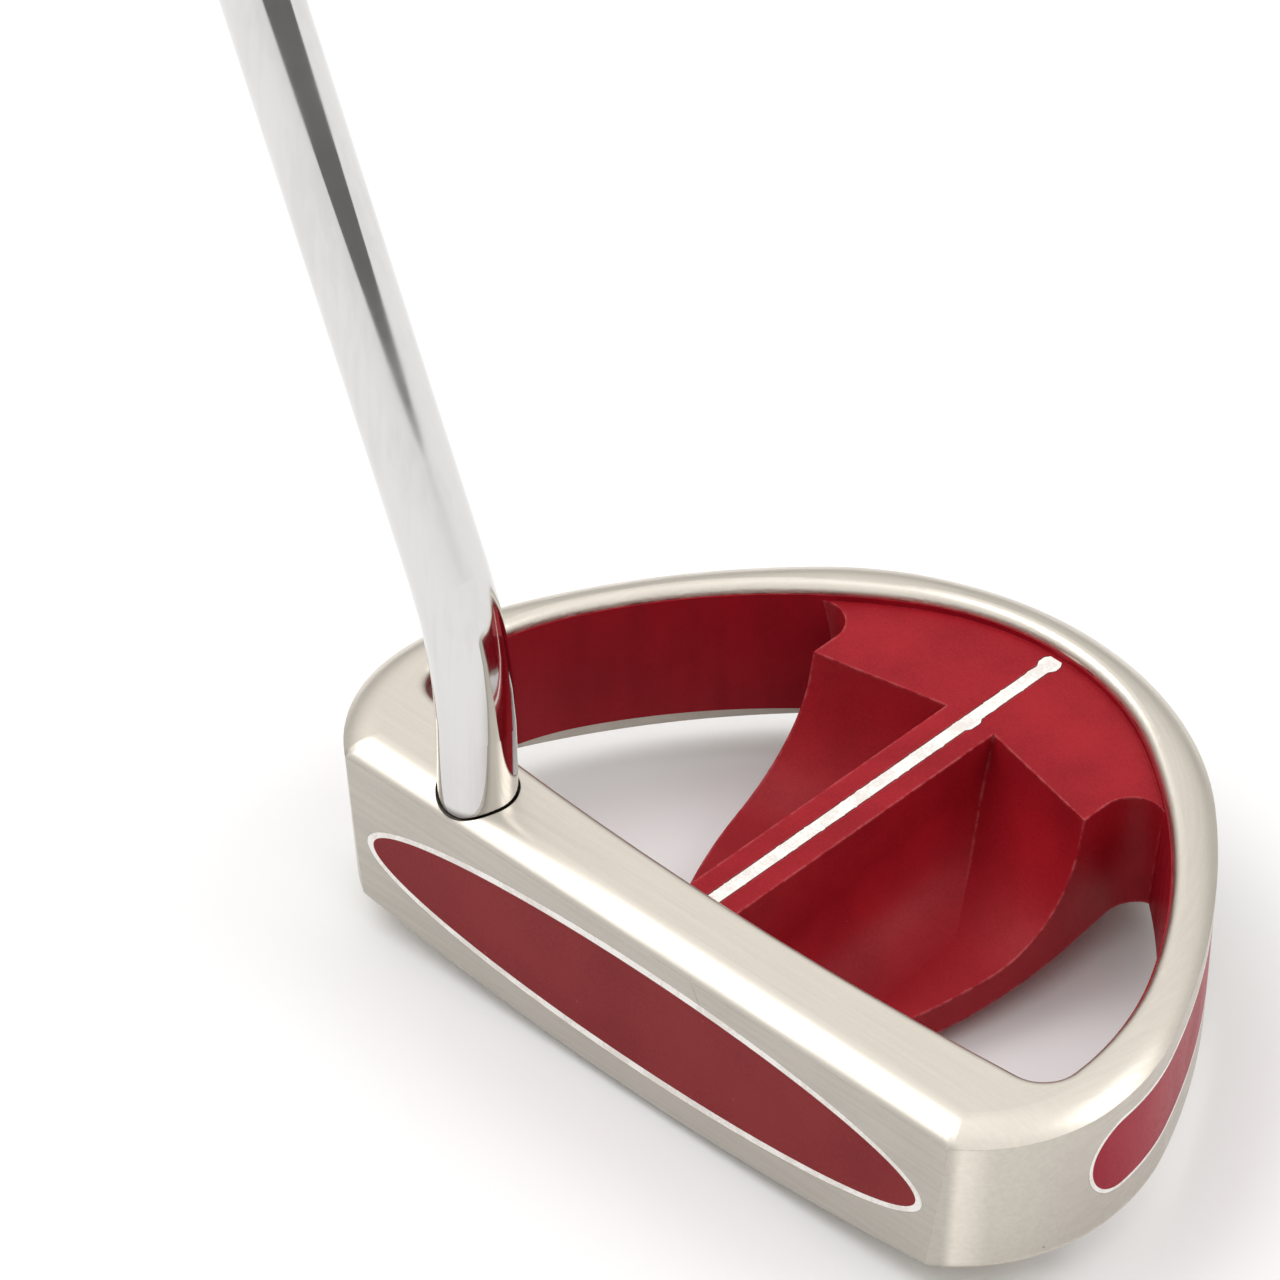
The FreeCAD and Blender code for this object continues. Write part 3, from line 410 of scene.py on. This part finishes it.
def makeTube(look):
    made, tree, shader, place = newMaterial("tubeChrome", 1.0)
    drawn = noise(tree, stretch(tree, place, (900, 900, 14), turn=(0, -20, 0)), 1.0, 3, 0.6)
    haze = noise(tree, place, 45, 4, 0.6)
    tone = weigh(tree, drawn, haze, 0.5)
    color = blendColor(tree, span(tree, tone, 0.36, 0.56), look["dull"], look["bright"])
    # painted shade: the foot of the shaft is darkened where it enters the head; the specks are grime
    level = plus(tree, axes(tree, place)["Z"], times(tree, haze, look["jointShadeWander"]))
    footShade = span(tree, level, *look["jointShadeTop"], 0.0, 0.8)
    dots = useGroup(tree, specks, Vector=place, Scale=240.0, Size=0.05, Share=0.04)["Mask"]
    color = blendColor(tree, calc(tree, "MAXIMUM", footShade, times(tree, dots, 0.5)), color, look["grimeAndShade"])
    feed(tree, shader["Base Color"], color)
    feed(tree, shader["Roughness"], span(tree, haze, 0.35, 0.7, *look["rough"]))
    feed(tree, shader["Normal"], bump(tree, drawn, 0.02, 0.02 * mm))
    return made


def makeSimple(name, metal, deep, bright, rough, coarse, fineScale, depth):
    made, tree, shader, place = newMaterial(name, metal)
    fine = useGroup(tree, grain, Vector=place, Coarse=coarse, Fine=fineScale)
    feed(tree, shader["Base Color"], blendColor(tree, span(tree, fine["Tone"], 0.36, 0.64), deep, bright))
    feed(tree, shader["Roughness"], span(tree, fine["Tone"], 0.3, 0.7, *rough))
    feed(tree, shader["Normal"], bump(tree, fine["Height"], 0.3, depth))
    return made


rubber = {
    "deep": (0.012, 0.012, 0.013, 1), "paler": (0.045, 0.044, 0.043, 1), "rough": (0.78, 0.6),
    "ribPitch": 2.4 * mm,
}


def makeRubber(look, turn):
    made, tree, shader, place = newMaterial("gripRubber", 0.0, specular=0.3)
    fine = useGroup(tree, grain, Vector=place, Coarse=90.0, Fine=2200.0)
    along = addNode(tree, "ShaderNodeMapping")
    along.vector_type = "TEXTURE"
    along.inputs["Rotation"].default_value = turn
    feed(tree, along.inputs["Vector"], place)
    height = axes(tree, along.outputs[0])["Z"]
    wave = calc(tree, "SINE", times(tree, height, 2 * math.pi / look["ribPitch"]))
    rib = span(tree, wave, -0.3, 0.5)
    paleEdge = useGroup(tree, edgeMask, Vector=place, Reach=0.6 * mm, Ragged=0.8)["Mask"]
    dust = times(tree, span(tree, fine["Tone"], 0.45, 0.65), 0.5)
    tone = calc(tree, "MAXIMUM", dust, paleEdge)
    feed(tree, shader["Base Color"], blendColor(tree, tone, look["deep"], look["paler"]))
    feed(tree, shader["Roughness"], span(tree, fine["Tone"], 0.3, 0.7, *look["rough"]))
    relief = weigh(tree, rib, fine["Height"], 0.6)
    feed(tree, shader["Normal"], bump(tree, relief, 0.5, 0.25 * mm))
    return made


# the sleeve is round with a flat front, a rolled lip at the tip and ring grooves
sleeve = {
    "segments": 96, "bore": 7.65 * mm, "tip": 9.6 * mm, "butt": 12.8 * mm, "flat": 0.84,
    "lip": 1.2 * mm, "groove": 0.45 * mm, "grooveWidth": 1.0 * mm,
    "grooves": (0.04, 0.055, 0.93, 0.945, 0.96), "rings": 40,
}
gripAxis = Vector(mounts["grip"]["axis"]).normalized()
gripOrigin = Vector(mounts["grip"]["pos_m"])
gripBack = (Vector((0, 1, 0)) - gripAxis * gripAxis.y).normalized()
gripSide = gripBack.cross(gripAxis)
gripFrame = Matrix((gripSide, gripBack, gripAxis)).transposed()


def makeSleeve(look):
    plain = frame["nodes"]["grip_sleeve"].data
    places = [(corner.co - gripOrigin).dot(gripAxis) for corner in plain.vertices]
    low, high = min(places), max(places)
    length = high - low
    stops = {step / look["rings"]: 0.0 for step in range(look["rings"] + 1)}
    for at in look["grooves"]:
        half = look["grooveWidth"] / 2 / length
        stops = {stop: dip for stop, dip in stops.items() if abs(stop - at) > 2 * half}
        stops.update({at - half: 0.0, at + half: 0.0})
        stops.update({at - half / 2: look["groove"], at + half / 2: look["groove"]})
    shape = bmesh.new()
    bmesh.ops.create_circle(shape, segments=look["segments"], radius=look["bore"])
    first = ringEdges = list(shape.edges)

    def grow(edges, radius, height, was):
        made = bmesh.ops.extrude_edge_only(shape, edges=edges)["geom"]
        corners = [part for part in made if isinstance(part, bmesh.types.BMVert)]
        bmesh.ops.scale(shape, vec=(radius / was[0], radius / was[0], 1), verts=corners)
        bmesh.ops.translate(shape, vec=(0, 0, height - was[1]), verts=corners)
        return [part for part in made if isinstance(part, bmesh.types.BMEdge)], (radius, height)

    was = (look["bore"], 0.0)
    tip, lip = look["tip"], look["lip"]
    for radius, height in ((tip - lip, 0.0), (tip - 0.3 * lip, 0.2 * lip), (tip, lip)):
        ringEdges, was = grow(ringEdges, radius, height, was)
    for stop in sorted(stops):
        if lip / length < stop < 1:
            radius = tip + (look["butt"] - tip) * stop - stops[stop]
            ringEdges, was = grow(ringEdges, radius, stop * length, was)
    for radius in (look["butt"], look["bore"]):
        ringEdges, was = grow(ringEdges, radius, length, was)
    bmesh.ops.bridge_loops(shape, edges=first + ringEdges)
    for corner in shape.verts:
        limit = -look["flat"] * (tip + (look["butt"] - tip) * corner.co.z / length)
        if corner.co.y < limit:
            corner.co.y = limit
    bmesh.ops.recalc_face_normals(shape, faces=shape.faces)
    place = gripFrame.to_4x4()
    place.translation = gripOrigin + gripAxis * low
    bmesh.ops.transform(shape, matrix=place, verts=shape.verts)
    data = bpy.data.meshes.new("gripSleeve")
    shape.to_mesh(data)
    shape.free()
    for face in data.polygons:
        face.use_smooth = True
    data.set_sharp_from_angle(angle=math.radians(35))
    made = bpy.data.objects.new("gripSleeve", data)
    bpy.context.collection.objects.link(made)
    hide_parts("grip_sleeve")
    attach(made, "root")
    return made


gripSleeve = makeSleeve(sleeve)
print("grip sleeve made")

looks = {
    "satin_nickel": makeNickel(nickel),
    "core_red": makeLacquer(lacquer),
    "enamel_red": makeEnamelLook(enamel),
    "insert_red": makeInsertLook(insert),
    "inlay_red": makeInlayLook(inlay),
    "white_fill": makeFill(fill),
    "chrome_tube": makeTube(tube),
    "adhesive": makeSimple(
        "bondingResin", 0.0, (0.05, 0.04, 0.035, 1), (0.13, 0.11, 0.09, 1), (0.6, 0.4), 200.0, 1500.0, 0.1 * mm),
    "plain_steel": makeSimple(
        "plainSteel", 1.0, (0.42, 0.42, 0.43, 1), (0.60, 0.60, 0.61, 1), (0.45, 0.28), 160.0, 2600.0, 0.04 * mm),
    "tape": makeSimple(
        "paperTape", 0.0, (0.55, 0.48, 0.33, 1), (0.72, 0.65, 0.48, 1), (0.9, 0.75), 120.0, 1800.0, 0.1 * mm),
    "grip_rubber": makeRubber(rubber, gripFrame.to_euler()),
}
slots = {row["node"]: row["material_slot"] for row in record["subparts"]}
for node, made in frame["nodes"].items():
    made.data.materials.clear()
    made.data.materials.append(looks[slots[node]])
gripSleeve.data.materials.append(looks["grip_rubber"])
print("materials assigned")


studio = {
    "floorHalf": 0.9, "floor": (0.92, 0.92, 0.92, 1), "floorLight": (0.95, 0.95, 0.95, 1),
    # world brightness from straight down to straight up
    "band": [(0.0, 0.55), (0.30, 0.50), (0.43, 0.20), (0.53, 0.20), (0.66, 0.80), (1.0, 1.15)],
    "strength": 0.95,
    # place, size and power
    "lamps": [((-0.8, -0.3, 1.3), 1.0, 6.5), ((0.9, 0.9, 1.2), 0.9, 4.0)],
}


def makeStudio(look):
    floor = bpy.data.objects.new("floor", bpy.data.meshes.new("floor"))
    shape = bmesh.new()
    bmesh.ops.create_grid(shape, x_segments=1, y_segments=1, size=look["floorHalf"])
    shape.to_mesh(floor.data)
    shape.free()
    paper, tree, shader, place = newMaterial("paleFloor", 0.0, specular=0.1)
    soft = noise(tree, place, 3.0, 2)
    feed(tree, shader["Base Color"], blendColor(tree, soft, look["floor"], look["floorLight"]))
    feed(tree, shader["Roughness"], span(tree, soft, 0.3, 0.7, 0.85, 0.95))
    floor.data.materials.append(paper)
    bpy.context.collection.objects.link(floor)
    world = bpy.data.worlds.new("studio")
    world.use_nodes = True
    tree = world.node_tree
    back = tree.nodes["Background"]
    back.inputs["Strength"].default_value = look["strength"]
    height = axes(tree, addNode(tree, "ShaderNodeTexCoord").outputs["Generated"])["Z"]
    ramp = addNode(tree, "ShaderNodeValToRGB")
    feed(tree, ramp.inputs[0], calc(tree, "MULTIPLY_ADD", height, 0.5, 0.5))
    stops = ramp.color_ramp.elements
    for stop, (where, bright) in zip(stops, (look["band"][0], look["band"][-1])):
        stop.position, stop.color = where, [bright] * 3 + [1]
    for where, bright in look["band"][1:-1]:
        stops.new(where).color = [bright, bright * 0.985, bright * 0.97, 1]
    feed(tree, back.inputs["Color"], ramp.outputs[0])
    bpy.context.scene.world = world
    for i, (spot, size, power) in enumerate(look["lamps"]):
        lamp = bpy.data.objects.new("lamp%d" % i, bpy.data.lights.new("lamp%d" % i, "AREA"))
        lamp.data.energy = power
        lamp.data.size = size
        lamp.location = spot
        lamp.rotation_euler = (-Vector(spot)).to_track_quat("-Z", "Y").to_euler()
        bpy.context.collection.objects.link(lamp)
    bpy.context.scene.view_settings.view_transform = "Standard"


makeStudio(studio)

camera = {
    "heading": 45.205,      # degrees round from looking along +Y
    "height": 40.736,       # degrees down to the aim point
    "roll": -1.097,
    "distance": 1.2536,
    "aim": (-0.0474, 0.0260, 0.012),
    "lens": 295.7,
}


def makeCamera(look):
    data = bpy.data.cameras.new("camera")
    data.lens = look["lens"]
    data.sensor_width = 36
    data.clip_start = 0.05
    data.clip_end = 20
    made = bpy.data.objects.new("camera", data)
    bpy.context.collection.objects.link(made)
    heading = math.radians(look["heading"])
    down = math.radians(look["height"])
    roll = math.radians(look["roll"])
    right = Vector((math.cos(heading), math.sin(heading), 0))
    level = Vector((-math.sin(heading), math.cos(heading), 0))
    up = level * math.sin(down) + Vector((0, 0, math.cos(down)))
    back = right.cross(up)
    turned = right * math.cos(roll) + up * math.sin(roll)
    lifted = up * math.cos(roll) - right * math.sin(roll)
    place = Matrix((turned, lifted, back)).transposed().to_4x4()
    place.translation = Vector(look["aim"]) + back * look["distance"]
    made.matrix_world = place
    bpy.context.scene.camera = made


makeCamera(camera)
print("studio ready")
